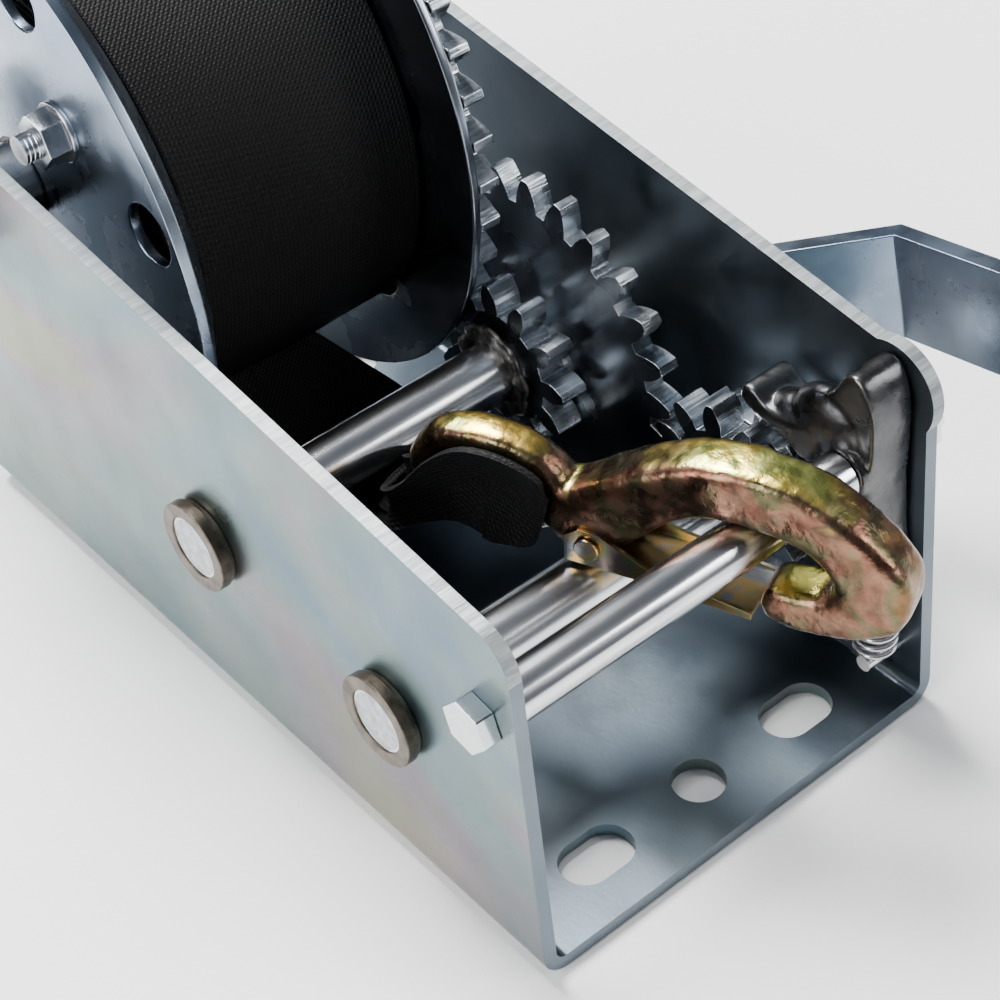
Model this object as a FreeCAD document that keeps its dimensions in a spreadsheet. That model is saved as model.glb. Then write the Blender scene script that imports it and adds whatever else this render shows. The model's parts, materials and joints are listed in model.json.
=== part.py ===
"""Two-speed hand winch for a boat trailer, with a strap, a snap hook and a cranked handle.

Row frame, in millimetres: +X along the shafts towards the handle, +Y rearwards, +Z up.
The origin is the centre of the front round mounting hole, on the underside of the base.
"""
import FreeCAD, Part
import math
import os

import Sketcher

V = FreeCAD.Vector

doc = FreeCAD.newDocument("trailer_winch")

# ---------------------------------------------------------------- driving dimensions
SIZES = {
    # bent steel channel
    "frame_width": 105.0, "plate": 3.0, "front_edge": 14.0, "rear_edge": 177.0,
    "front_height": 84.4, "rear_height": 105.4, "front_lean": 5.6,
    "bend_inner": 2.5, "plate_corner": 9.0, "ear_radius": 10.6,
    "hole_radius": 5.6, "slot_radius": 5.6, "slot_half": 2.75, "slot_pitch": 54.6, "hole_rows": 150.0,
    # shaft positions
    "tie_y": -0.45, "tie_z": 63.1, "drive_y": 27.4, "drive_z": 41.5,
    "inter_y": 84.36, "inter_z": 45.5, "drum_y": 157.3, "drum_z": 87.4,
    # shafts and bushes
    "shaft_radius": 6.7, "shaft_proud": 3.3, "bush_flange": 9.85, "bush_spigot": 8.4, "bush_ring": 9.2,
    "bush_ring_thick": 1.1, "bush_proud": 3.7, "running_gap": 0.05, "clip_radius": 9.6, "clip_thick": 1.0,
    "clip_groove": 5.9, "crank_shoulder": 5.5, "crank_square": 10.0, "crank_square_long": 4.6,
    "crank_thread": 5.0, "crank_thread_long": 13.0,
    # gears, all of one module
    "tooth_module": 3.0, "drive_teeth": 12.0, "big_teeth": 26.0, "small_teeth": 11.0, "drum_teeth": 45.0,
    "drum_gear_left": 23.0, "drum_gear_thick": 5.0, "small_left": 23.5, "small_thick": 6.5,
    "big_left": 33.0, "big_thick": 4.7, "drive_left": 32.8, "drive_thick": 6.6,
    "ratchet_left": 39.7, "ratchet_thick": 6.8, "ratchet_tip": 18.0, "ratchet_root": 14.5,
    "ratchet_teeth": 12.0, "hub_radius": 10.5,
    # drum
    "flange_radius": 71.6, "flange_flat": 62.0, "left_thick": 2.5, "left_flare": 6.0,
    "right_thick": 2.2, "right_flare": -1.2, "left_flat": -37.0, "right_flat": 20.8,
    "core_outer": 14.0, "core_inner": 9.0, "drum_bolt": 6.0, "drum_tube": 8.2,
    "relief_radius": 6.6, "relief_circle": 49.8, "anchor_circle": 30.8, "anchor_angle": 133.8,
    "anchor_bolt": 3.0, "anchor_head": 6.0, "roll_left": -34.5, "roll_right": 20.0, "roll_radius": 56.5,
    # tie bolt, its tube and the pawl
    "tie_bolt": 3.1, "tie_tube": 5.16, "pawl_left": 36.4, "pawl_right": 48.9, "pawl_boss": 5.6,
    "pawl_body_left": 38.2, "pawl_arm_left": 35.6, "pawl_arm_right": 47.0,
    # fasteners
    "m6_flats": 10.0, "m6_head": 4.0, "m6_nut": 4.9, "m6_washer": 6.3, "washer_thick": 1.2,
    "m12_flats": 18.0, "m12_nut": 9.0, "m12_head": 7.5, "m10_flats": 16.0, "m10_nut": 8.0,
    # hook and latch
    "hook_x": 13.8, "hook_y": -2.0, "hook_z": 63.5, "hook_yaw": 24.0, "hook_thick": 11.0,
    "latch_width": 13.6, "eye_centre": 54.8, "eye_drop": 3.2, "eye_outer": 16.8, "eye_outer_tall": 11.6,
    "eye_inner": 12.0, "eye_inner_tall": 6.4, "eye_thick": 8.0,
    # handle
    "arm_width": 25.0, "arm_thick": 4.5, "arm_reach": 230.0, "arm_angle": 12.0, "arm_jog": 34.0,
    "arm_left": 58.6, "arm_bend_in": 20.0, "arm_bend_out": 49.0,
    "grip_radius": 15.0, "grip_long": 112.0, "grip_bolt": 5.0,
}

sheet = doc.addObject("Spreadsheet::Sheet", "Sizes")
for row, (alias, number) in enumerate(SIZES.items(), start=1):
    sheet.set("A%d" % row, alias)
    sheet.set("B%d" % row, str(number))
    sheet.setAlias("B%d" % row, alias)
doc.recompute()


class Dim:
    """A length with its value and the expression that gives it from the sheet."""

    def __init__(self, text, value):
        self.text = text
        self.value = float(value)

    def combine(self, other, sign, value):
        other_text = other.text if isinstance(other, Dim) else repr(float(other))
        return Dim("(%s %s %s)" % (self.text, sign, other_text), value)

    def __add__(self, other):
        return self.combine(other, "+", self.value + plain(other))

    def __sub__(self, other):
        return self.combine(other, "-", self.value - plain(other))

    def __mul__(self, other):
        return self.combine(other, "*", self.value * plain(other))

    def __truediv__(self, other):
        return self.combine(other, "/", self.value / plain(other))

    def __neg__(self):
        return Dim("(-1 * %s)" % self.text, -self.value)


def plain(length):
    """The number in a Dim, or the number itself."""
    return length.value if isinstance(length, Dim) else float(length)


def dim(alias):
    """The named cell of the sheet."""
    return Dim("Sizes.%s" % alias, sheet.get(alias))


def bind(item, prop, length):
    """Ties one property of an object to the sheet, or sets it where it is a bare number."""
    if isinstance(length, Dim):
        item.setExpression(prop, length.text)


ZERO = Dim("0", 0.0)
half_width = dim("frame_width") / 2
inner_face = half_width - dim("plate")

TIE = (dim("tie_y"), dim("tie_z"))
DRIVE = (dim("drive_y"), dim("drive_z"))
INTER = (dim("inter_y"), dim("inter_z"))
DRUM = (dim("drum_y"), dim("drum_z"))
CENTRE = (ZERO, ZERO)

sub_parts = []


# ---------------------------------------------------------------- building blocks
def new_body(name, axis=None):
    """A body whose own origin lies on the given line along X."""
    body = doc.addObject("PartDesign::Body", name)
    body.Label = name
    if axis:
        body.Placement = FreeCAD.Placement(V(0, axis[0].value, axis[1].value), FreeCAD.Rotation())
        bind(body, "Placement.Base.y", axis[0])
        bind(body, "Placement.Base.z", axis[1])
    sub_parts.append(body)
    return body


def new_sketch(body, plane, offset=ZERO):
    """An empty sketch on one of the body's own planes, moved along that plane's normal."""
    sketch = body.newObject("Sketcher::SketchObject", body.Name + "_sketch")
    support = [item for item in body.Origin.OriginFeatures if item.Role == plane][0]
    sketch.AttachmentSupport = [(support, "")]
    sketch.MapMode = "FlatFace"
    sketch.AttachmentOffset = FreeCAD.Placement(V(0, 0, offset.value), FreeCAD.Rotation())
    bind(sketch, "AttachmentOffset.Base.z", offset)
    return sketch


def pin_down(sketch, geometry, point, place):
    """Fixes one point of the sketch at a place given by two lengths."""
    for kind, length, axis in (("DistanceX", place[0], -2), ("DistanceY", place[1], -1)):
        if abs(length.value) < 1e-9:
            sketch.addConstraint(Sketcher.Constraint("PointOnObject", geometry, point, axis))
        else:
            index = sketch.addConstraint(Sketcher.Constraint(kind, geometry, point, length.value))
            sketch.setExpression("Constraints[%d]" % index, length.text)


def draw_polygon(sketch, corners):
    """A closed outline of straight sides with every corner fixed from the sheet."""
    places = [V(plain(a), plain(b), 0) for a, b in corners]
    first = sketch.GeometryCount
    count = len(places)
    for index in range(count):
        sketch.addGeometry(Part.LineSegment(places[index], places[(index + 1) % count]), False)
    for index in range(count):
        here = first + index
        after = first + (index + 1) % count
        sketch.addConstraint(Sketcher.Constraint("Coincident", here, 2, after, 1))
    for index, (a, b) in enumerate(corners):
        pin_down(sketch, first + index, 1, (as_dim(a), as_dim(b)))


def as_dim(length):
    return length if isinstance(length, Dim) else Dim(repr(float(length)), length)


def draw_circle(sketch, centre, radius):
    place = V(plain(centre[0]), plain(centre[1]), 0)
    index = sketch.addGeometry(Part.Circle(place, V(0, 0, 1), plain(radius)), False)
    pin_down(sketch, index, 3, (as_dim(centre[0]), as_dim(centre[1])))
    hold = sketch.addConstraint(Sketcher.Constraint("Radius", index, plain(radius)))
    sketch.setExpression("Constraints[%d]" % hold, as_dim(radius).text)


def draw_smooth(sketch, points):
    """A closed smooth outline through a few points."""
    curve = Part.BSplineCurve()
    curve.interpolate(Points=[V(a, b, 0) for a, b in points], PeriodicFlag=True)
    sketch.addGeometry(curve, False)


def pad(body, sketch, length, middle=False):
    feature = body.newObject("PartDesign::Pad", body.Name + "_pad")
    feature.Profile = sketch
    feature.Length = length.value
    feature.Midplane = middle
    bind(feature, "Length", length)
    return feature


def pocket_through(body, sketch):
    """Cuts a sketch through everything, both ways."""
    feature = body.newObject("PartDesign::Pocket", body.Name + "_pocket")
    feature.Profile = sketch
    feature.Type = 1
    feature.Midplane = True
    return feature


def spin(body, sketch):
    """Turns a sketch on the XY plane once round the body's own X axis."""
    feature = body.newObject("PartDesign::Revolution", body.Name + "_turn")
    feature.Profile = sketch
    axis = [item for item in body.Origin.OriginFeatures if item.Role == "X_Axis"][0]
    feature.ReferenceAxis = (axis, [""])
    feature.Angle = 360
    return feature


def turned(name, axis, profile):
    """A lathe part: the profile lists (place along X, radius) and closes on itself."""
    body = new_body(name, axis)
    sketch = new_sketch(body, "XY_Plane")
    draw_polygon(sketch, profile)
    spin(body, sketch)
    return body


def ring(name, axis, start, end, inner, outer):
    """A plain tube or washer between two places along X."""
    return turned(name, axis, [(start, inner), (end, inner), (end, outer), (start, outer)])


def edges_where(shape, test):
    """The names of the edges whose two ends both pass the test."""
    return ["Edge%d" % (index + 1) for index, edge in enumerate(shape.Edges)
            if all(test(vertex.Point) for vertex in edge.Vertexes)]


def round_edges(body, names, radius):
    before = body.Tip
    feature = body.newObject("PartDesign::Fillet", body.Name + "_round")
    feature.Base = (before, names)
    feature.Radius = radius.value
    bind(feature, "Radius", radius)
    return feature


def hexagon(sketch, flats, turn=0.0):
    """Six sides with the given distance across flats, turned by an angle in degrees."""
    reach = flats / (2 * math.cos(math.pi / 6))
    corners = []
    for step in range(6):
        angle = math.radians(60 * step + turn)
        corners.append((reach * math.cos(angle), reach * math.sin(angle)))
    draw_polygon(sketch, corners)


def nut(name, axis, start, thick, flats, bore, turn=0.0):
    """A hexagon nut whose axis lies along X."""
    body = new_body(name, axis)
    sketch = new_sketch(body, "YZ_Plane", start)
    hexagon(sketch, flats, turn)
    draw_circle(sketch, CENTRE, bore)
    pad(body, sketch, thick)
    return body


def hex_bolt(name, axis, head_face, head, flats, shank_end, shank, turn=0.0):
    """A hexagon bolt along +X: its head lies left of head_face."""
    body = new_body(name, axis)
    sketch = new_sketch(body, "YZ_Plane", head_face - head)
    hexagon(sketch, flats, turn)
    pad(body, sketch, head)
    shank_sketch = new_sketch(body, "YZ_Plane", head_face)
    draw_circle(shank_sketch, CENTRE, shank)
    pad(body, shank_sketch, shank_end - head_face)
    return body


# ---------------------------------------------------------------- gears
PRESSURE = math.radians(25)
BACKLASH = 0.16
ADDENDUM = 0.88


def flank_angle(radius, base):
    """The involute function at a radius: how far the flank has leaned over there."""
    if radius <= base:
        return 0.0
    lean = math.acos(base / radius)
    return math.tan(lean) - lean


def gear_outline(sketch, teeth, phase):
    """Involute teeth with shortened tips; phase turns one tooth's middle to that angle from +Y."""
    module = dim("tooth_module").value
    pitch = module * teeth / 2
    tip = pitch + ADDENDUM * module
    root = pitch - 1.25 * module
    base = pitch * math.cos(PRESSURE)
    start = max(base, root)
    half_tooth = math.pi / (2 * teeth) - BACKLASH / (2 * pitch) + flank_angle(pitch, base)
    radii = [start, start + 0.45 * (tip - start), tip]

    def place(radius, angle):
        return V(radius * math.cos(angle), radius * math.sin(angle), 0)

    def flank(middle, side):
        return [place(r, middle + side * (half_tooth - flank_angle(r, base))) for r in radii]

    for number in range(teeth):
        middle = phase + 2 * math.pi * number / teeth
        rising = flank(middle, -1)
        falling = flank(middle, 1)
        after = middle + 2 * math.pi / teeth
        next_rising = flank(after, -1)
        sketch.addGeometry(Part.Arc(rising[0], rising[1], rising[2]), False)
        sketch.addGeometry(Part.Arc(rising[2], place(tip, middle), falling[2]), False)
        sketch.addGeometry(Part.Arc(falling[2], falling[1], falling[0]), False)
        foot = place(root, middle + half_tooth - flank_angle(start, base))
        next_foot = place(root, after - half_tooth + flank_angle(start, base))
        sketch.addGeometry(Part.Arc(foot, place(root, (middle + after) / 2), next_foot), False)
        if start > root:
            sketch.addGeometry(Part.LineSegment(falling[0], foot), False)
            sketch.addGeometry(Part.LineSegment(next_foot, next_rising[0]), False)


def gear(name, axis, teeth_alias, left, thick, bore, phase):
    body = new_body(name, axis)
    sketch = new_sketch(body, "YZ_Plane", left)
    gear_outline(sketch, int(dim(teeth_alias).value), phase)
    draw_circle(sketch, CENTRE, bore)
    pad(body, sketch, thick)
    return body


def direction(start, end):
    """The angle from +Y of the line between two shaft centres."""
    return math.atan2(end[1].value - start[1].value, end[0].value - start[0].value)


# ---------------------------------------------------------------- frame
def make_frame():
    """One plate bent into a channel: two leaning side plates and a base with slots."""
    body = new_body("frame_channel")
    side = new_sketch(body, "YZ_Plane")
    front = -dim("front_edge")
    draw_polygon(side, [
        (front, ZERO),
        (dim("rear_edge"), ZERO),
        (dim("rear_edge"), dim("rear_height")),
        (front + dim("front_lean"), dim("front_height")),
    ])
    pad(body, side, dim("frame_width"), middle=True)
    doc.recompute()
    corners = edges_where(body.Shape, lambda p: p.z > 50)
    across = [name for name in corners
              if abs(abs(body.Shape.getElement(name).tangentAt(0).x) - 1) < 1e-6]
    round_edges(body, across, dim("plate_corner"))
    doc.recompute()
    trough = new_sketch(body, "XZ_Plane")
    tall = dim("rear_height") + 10
    draw_polygon(trough, [
        (-inner_face, dim("plate")), (inner_face, dim("plate")), (inner_face, tall), (-inner_face, tall),
    ])
    pocket_through(body, trough)
    doc.recompute()

    bend_outer = dim("bend_inner") + dim("plate")
    for x, z, radius in ((inner_face, dim("plate"), dim("bend_inner")), (half_width, ZERO, bend_outer)):
        round_edges(body, long_edges(body.Shape, x.value, z.value), radius)
        doc.recompute()
    ear = new_sketch(body, "YZ_Plane", inner_face)
    draw_circle(ear, front_corner_centre(), dim("ear_radius"))
    pad(body, ear, dim("plate"))
    shaft_holes = new_sketch(body, "YZ_Plane")
    draw_circle(shaft_holes, TIE, dim("tie_bolt") + 0.05)
    draw_circle(shaft_holes, DRIVE, dim("bush_spigot"))
    draw_circle(shaft_holes, INTER, dim("bush_spigot"))
    draw_circle(shaft_holes, DRUM, dim("drum_bolt") + 0.05)
    pocket_through(body, shaft_holes)
    floor_holes = new_sketch(body, "XY_Plane")
    for row_y in (ZERO, dim("hole_rows")):
        draw_circle(floor_holes, (ZERO, row_y), dim("hole_radius"))
        for side_sign in (-1, 1):
            draw_slot(floor_holes, dim("slot_pitch") * side_sign / 2, row_y)
    pocket_through(body, floor_holes)
    return body


def front_corner_centre():
    """The middle of the front top corner's rounding, the same distance from both edges."""
    front = -dim("front_edge").value
    corner = V(front + dim("front_lean").value, dim("front_height").value, 0)
    foot = V(front, 0, 0)
    back = V(dim("rear_edge").value, dim("rear_height").value, 0)
    down = (foot - corner).normalize()
    along = (back - corner).normalize()
    half_angle = down.getAngle(along) / 2
    middle = (down + along).normalize() * (dim("plate_corner").value / math.sin(half_angle))
    spot = corner + middle
    return (as_dim(spot.x), as_dim(spot.y))


def long_edges(shape, x, z):
    """The two edges that run along Y at the distance x from the middle and the height z."""
    names = edges_where(shape, lambda p: abs(abs(p.x) - x) < 1e-4 and abs(p.z - z) < 1e-4)
    return [name for name in names if abs(shape.getElement(name).tangentAt(0).y) > 0.9]


def draw_slot(sketch, middle, row_y):
    """A slot along X with round ends."""
    radius = dim("slot_radius").value
    reach = dim("slot_half").value
    x = middle.value
    y = row_y.value
    left = V(x - reach, y, 0)
    right = V(x + reach, y, 0)
    up = V(0, radius, 0)
    sketch.addGeometry(Part.LineSegment(left + up, right + up), False)
    sketch.addGeometry(Part.Arc(right + up, right + V(radius, 0, 0), right - up), False)
    sketch.addGeometry(Part.LineSegment(right - up, left - up), False)
    sketch.addGeometry(Part.Arc(left - up, left - V(radius, 0, 0), left + up), False)


# ---------------------------------------------------------------- bushes and shafts
def make_bush(name, axis, side):
    """A flanged bush pressed into a side plate from outside; side is -1 on the left."""
    bore = dim("shaft_radius") + dim("running_gap")
    inside = inner_face * side
    outside = half_width * side
    proud = (half_width + dim("bush_proud")) * side
    step = (half_width + dim("bush_ring_thick")) * side
    return turned(name, axis, [
        (inside, bore), (proud, bore), (proud, dim("bush_flange")), (step, dim("bush_flange")),
        (step, dim("bush_ring")), (outside, dim("bush_ring")), (outside, dim("bush_spigot")),
        (inside, dim("bush_spigot")),
    ])


def make_shaft(name, axis):
    """A bright bar through both bushes: clip groove, square and thread for the crank."""
    radius = dim("shaft_radius")
    left_end = -(half_width + dim("shaft_proud"))
    groove = clip_place()
    groove_end = groove + dim("clip_thick")
    shoulder = half_width + dim("crank_shoulder")
    square_end = shoulder + dim("crank_square_long")
    body = turned(name, axis, [
        (left_end, ZERO), (shoulder, ZERO), (shoulder, radius), (groove_end, radius),
        (groove_end, dim("clip_groove")), (groove, dim("clip_groove")), (groove, radius), (left_end, radius),
    ])
    square = new_sketch(body, "YZ_Plane", shoulder)
    corner = dim("crank_square").value / math.sqrt(2)
    turn = math.radians(45 - dim("arm_angle").value)
    corners = [polar(corner, turn + step * math.pi / 2) for step in range(4)]
    draw_polygon(square, [(spot.x, spot.y) for spot in corners])
    pad(body, square, dim("crank_square_long"))
    thread = new_sketch(body, "YZ_Plane", square_end)
    draw_circle(thread, CENTRE, dim("crank_thread"))
    pad(body, thread, dim("crank_thread_long"))
    return body


def clip_place():
    """Where the retaining ring starts, just inside the left plate."""
    return -(inner_face - 0.4)


def make_clip(name, axis):
    """An open retaining ring in the shaft's groove."""
    body = ring(name, axis, clip_place(), clip_place() + dim("clip_thick"),
                dim("clip_groove"), dim("clip_radius"))
    mouth = new_sketch(body, "YZ_Plane")
    reach = dim("clip_groove") * 0.75
    low = -dim("clip_radius") - 1
    draw_polygon(mouth, [(-reach, low), (reach, low), (reach, ZERO), (-reach, ZERO)])
    pocket_through(body, mouth)
    return body


# ---------------------------------------------------------------- ratchet
def make_ratchet():
    """A toothed wheel that a two-way pawl can hold in either direction."""
    body = new_body("ratchet_wheel", DRIVE)
    sketch = new_sketch(body, "YZ_Plane", dim("ratchet_left"))
    count = int(dim("ratchet_teeth").value)
    tip = dim("ratchet_tip").value
    root = dim("ratchet_root").value
    step = 2 * math.pi / count
    tip_half = 0.145 * step
    root_half = 0.20 * step
    for number in range(count):
        middle = RATCHET_PHASE + number * step
        after = middle + step
        foot = polar(root, middle - root_half)
        corner = polar(tip, middle - tip_half)
        other = polar(tip, middle + tip_half)
        heel = polar(root, middle + root_half)
        next_foot = polar(root, after - root_half)
        sketch.addGeometry(Part.LineSegment(foot, corner), False)
        sketch.addGeometry(Part.Arc(corner, polar(tip, middle), other), False)
        sketch.addGeometry(Part.LineSegment(other, heel), False)
        sketch.addGeometry(Part.Arc(heel, polar(root, (middle + after) / 2), next_foot), False)
    draw_circle(sketch, CENTRE, dim("shaft_radius"))
    pad(body, sketch, dim("ratchet_thick"))
    return body


def polar(radius, angle):
    return V(radius * math.cos(angle), radius * math.sin(angle), 0)


RATCHET_PHASE = math.radians(98.0)


# ---------------------------------------------------------------- pawl
def make_pawl():
    """A cast rocker on the tie bolt: a boss, a body with a lower arm, and a wide claw over the teeth."""
    body = new_body("pawl", TIE)
    boss = new_sketch(body, "YZ_Plane", dim("pawl_left"))
    draw_circle(boss, CENTRE, dim("pawl_boss"))
    pad(body, boss, dim("pawl_body_left") - dim("pawl_left"))
    rocker = new_sketch(body, "YZ_Plane", dim("pawl_body_left"))
    draw_smooth(rocker, [
        (13.2, 4.2), (11.6, 8.4), (9.2, 12.0), (6.6, 14.8), (4.0, 18.4), (2.4, 21.6), (-0.6, 22.6), (-3.6, 19.8),
        (-5.4, 14.0), (-5.8, 6.0), (-5.8, -4.0), (-6.4, -12.0), (-7.6, -20.0), (-7.8, -25.0), (-5.4, -26.0),
        (-3.0, -21.6), (-2.0, -13.0), (1.2, -7.2), (6.4, -4.4), (11.0, -2.4), (13.4, 0.2),
    ])
    pad(body, rocker, dim("pawl_right") - dim("pawl_body_left"))
    arm = new_sketch(body, "YZ_Plane", dim("pawl_arm_left"))
    draw_smooth(arm, [
        (6.4, 0.4), (8.6, -1.9), (12.5, -1.0), (17.0, 0.4), (22.0, 1.2), (25.6, 2.2), (26.8, 4.4), (25.4, 6.8),
        (22.8, 6.4), (20.2, 4.9), (16.4, 4.7), (13.0, 4.9), (10.0, 6.2), (7.4, 5.2),
    ])
    pad(body, arm, dim("pawl_arm_right") - dim("pawl_arm_left"))
    bore = new_sketch(body, "YZ_Plane")
    draw_circle(bore, CENTRE, dim("tie_bolt") + dim("running_gap"))
    pocket_through(body, bore)
    return body


def make_pawl_spring():
    """An over-centre compression spring between the pawl's lower arm and the side plate."""
    top = V(42.5, -7.6, 35.0)
    foot = V(42.5, -6.6, 15.8)
    wire = 0.6
    coil = 4.0
    along = foot - top
    turns = 8
    helix = Part.makeHelix(along.Length / turns, along.Length, coil)
    section = Part.Wire([Part.Circle(V(coil, 0, 0), V(0, 1, 0), wire).toShape()])
    coil_shape = Part.Wire(helix.Edges).makePipeShell([section], True, True)
    feature = doc.addObject("Part::Feature", "pawl_spring")
    feature.Label = "pawl_spring"
    feature.Shape = coil_shape
    feature.Placement = FreeCAD.Placement(top, FreeCAD.Rotation(V(0, 0, 1), along))
    sub_parts.append(feature)


def make_spring_seat():
    """A bent pin riveted in the side plate that the foot of the pawl spring stands on."""
    body = new_body("spring_seat", (Dim("-6.6", -6.6), Dim("13", 13.0)))
    sketch = new_sketch(body, "YZ_Plane", inner_face - 10)
    draw_circle(sketch, CENTRE, as_dim(1.8))
    pad(body, sketch, as_dim(10.0))
    return body


# ---------------------------------------------------------------- drum
def make_flange(name, flat, thick, flare, side):
    """A pressed disc whose rim leans by the flare; side is -1 for the left one."""
    outer = flat + thick * side
    rim_inner = flat + flare * side
    rim_outer = flat + (flare + thick) * side
    body = turned(name, DRUM, [
        (flat, dim("core_inner")), (flat, dim("flange_flat")), (rim_inner, dim("flange_radius")),
        (rim_outer, dim("flange_radius")), (outer, dim("flange_flat")), (outer, dim("core_inner")),
    ])
    holes = new_sketch(body, "YZ_Plane")
    for step in range(6):
        angle = math.radians(166 + 60 * step)
        spot = polar(dim("relief_circle").value, angle)
        draw_circle(holes, (as_dim(spot.x), as_dim(spot.y)), dim("relief_radius"))
    spot = anchor_spot()
    draw_circle(holes, (as_dim(spot.x), as_dim(spot.y)), dim("anchor_bolt"))
    pocket_through(body, holes)
    return body


def make_drum_gear():
    """The drum's gear, with a hole that clears the head of the anchor bolt."""
    body = gear("drum_gear", DRUM, "drum_teeth", dim("drum_gear_left"), dim("drum_gear_thick"),
                dim("core_outer"), drum_phase)
    hole = new_sketch(body, "YZ_Plane")
    spot = anchor_spot()
    draw_circle(hole, (as_dim(spot.x), as_dim(spot.y)), dim("anchor_head") + 1.2)
    pocket_through(body, hole)


def anchor_spot():
    """Where the strap's anchor bolt crosses the drum, from the drum's centre."""
    return polar(dim("anchor_circle").value, math.radians(dim("anchor_angle").value))


def make_wound_strap():
    """The strap wound on the core, as one plain roll with a hole for the anchor bolt."""
    body = ring("strap_wound", DRUM, dim("roll_left"), dim("roll_right"), dim("core_outer"), dim("roll_radius"))
    hole = new_sketch(body, "YZ_Plane")
    spot = anchor_spot()
    draw_circle(hole, (as_dim(spot.x), as_dim(spot.y)), dim("anchor_bolt"))
    pocket_through(body, hole)
    return body


def make_strap_tail():
    """The free end of the strap: flat below the roll, gathered under the shaft, looped in the hook's eye."""
    stations = [
        (140.0, -13.0, 31.0, 23.4, 1.1), (120.0, -13.0, 33.3, 23.4, 1.1), (100.0, -13.0, 35.4, 23.4, 1.1),
        (88.0, -13.4, 35.6, 21.6, 1.1), (80.0, -14.6, 36.0, 14.0, 1.8), (70.0, -18.0, 40.6, 10.5, 3.4),
        (60.0, -25.5, 49.0, 6.3, 5.0), (48.0, -20.5, 56.5, 5.5, 7.0), (34.0, -14.0, 58.0, 4.5, 6.5),
    ]
    wires = []
    for y, x, z, half_width_here, half_depth in stations:
        corners = [V(x + side * half_width_here, y, z + lift * half_depth)
                   for side, lift in ((-1, -1), (1, -1), (1, 1), (-1, 1))]
        wires.append(Part.makePolygon(corners + corners[:1]))
    gathered = Part.makeLoft(wires, True, True)
    loop = Part.makeBox(17.0, 6.4, 15.0, V(-dim("eye_centre").value - 8.5, -dim("eye_drop").value - 3.2, -6.5))
    loop.Placement = hook_placement().multiply(loop.Placement)
    feature = doc.addObject("Part::Feature", "strap_tail")
    feature.Label = "strap_tail"
    feature.Shape = gathered.fuse(loop)
    sub_parts.append(feature)


# ---------------------------------------------------------------- hook
def hook_placement():
    """The hook's own plane: its X runs from the eye to the bend, its Y upwards."""
    yaw = math.radians(dim("hook_yaw").value)
    along = V(math.sin(yaw), -math.cos(yaw), 0)
    upward = V(0, 0, 1)
    across = along.cross(upward)
    turn = FreeCAD.Rotation(along, upward, across, "ZXY")
    return FreeCAD.Placement(V(dim("hook_x").value, dim("hook_y").value, dim("hook_z").value), turn)


def place_on_hook(body):
    body.Placement = hook_placement()
    return body


def draw_ellipse(sketch, centre, half_long, half_tall):
    place = V(plain(centre[0]), plain(centre[1]), 0)
    far = place + V(half_long.value, 0, 0)
    top = place + V(0, half_tall.value, 0)
    sketch.addGeometry(Part.Ellipse(far, top, place), False)


LATCH_PIVOT = (as_dim(-32.5), as_dim(-9.6))


def make_hook():
    """A forged snap hook that hangs on the tie bolt by its back."""
    body = place_on_hook(new_body("snap_hook"))
    sketch = new_sketch(body, "XY_Plane")
    draw_smooth(sketch, [
        (-38.0, 0.2), (-31.0, 5.5), (-20.0, 12.6), (-8.0, 17.2), (3.0, 17.2), (14.0, 14.0), (24.0, 7.0),
        (30.0, -1.5), (29.0, -9.0), (23.5, -14.0), (16.5, -16.4), (8.0, -16.8), (2.6, -15.0), (2.2, -10.6),
        (8.0, -8.8), (14.0, -7.6), (16.4, -3.6), (13.6, 0.9), (8.0, 4.3), (0.0, 5.5), (-8.0, 5.2), (-15.0, 2.2),
        (-20.5, -2.6), (-26.0, -8.6), (-32.0, -12.2), (-38.5, -12.0), (-41.5, -5.0),
    ])
    pad(body, sketch, dim("hook_thick"), middle=True)
    eye = new_sketch(body, "XY_Plane")
    eye_middle = (-dim("eye_centre"), -dim("eye_drop"))
    draw_ellipse(eye, eye_middle, dim("eye_outer"), dim("eye_outer_tall"))
    pad(body, eye, dim("eye_thick"), middle=True)
    hole = new_sketch(body, "XY_Plane")
    draw_ellipse(hole, eye_middle, dim("eye_inner"), dim("eye_inner_tall"))
    draw_circle(hole, LATCH_PIVOT, as_dim(1.55))
    pocket_through(body, hole)
    return body


def make_latch():
    """A folded sheet gate: two cheeks beside the hook and a web that closes against its point."""
    body = place_on_hook(new_body("hook_latch"))
    sketch = new_sketch(body, "XY_Plane")
    draw_polygon(sketch, [(-37.5, -14.2), (-37.5, -8.0), (-34.5, -5.6), (-30.5, -5.6), (-20.0, -11.0),
                          (0.8, -14.3), (0.8, -15.9), (-22.0, -14.4)])
    pad(body, sketch, dim("latch_width"), middle=True)
    slot = new_sketch(body, "XY_Plane")
    draw_polygon(slot, [(-40.0, -12.9), (-40.0, 0.0), (3.0, 0.0), (3.0, -14.8), (-20.0, -13.1)])
    feature = body.newObject("PartDesign::Pocket", "hook_latch_slot")
    feature.Profile = slot
    feature.Midplane = True
    feature.Length = (dim("latch_width") - 1.8).value
    bind(feature, "Length", dim("latch_width") - 1.8)
    hole = new_sketch(body, "XY_Plane")
    draw_circle(hole, LATCH_PIVOT, as_dim(1.6))
    pocket_through(body, hole)
    return body


def make_latch_rivet():
    body = place_on_hook(new_body("latch_rivet"))
    sketch = new_sketch(body, "XY_Plane")
    draw_circle(sketch, LATCH_PIVOT, as_dim(1.5))
    pad(body, sketch, dim("latch_width") + 1.2, middle=True)
    for side in (-1, 1):
        start = (dim("latch_width") + 0.3) * side / 2
        head = new_sketch(body, "XY_Plane", start if side > 0 else start - 0.8)
        draw_circle(head, LATCH_PIVOT, as_dim(2.6))
        pad(body, head, as_dim(0.8))
    return body


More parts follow.
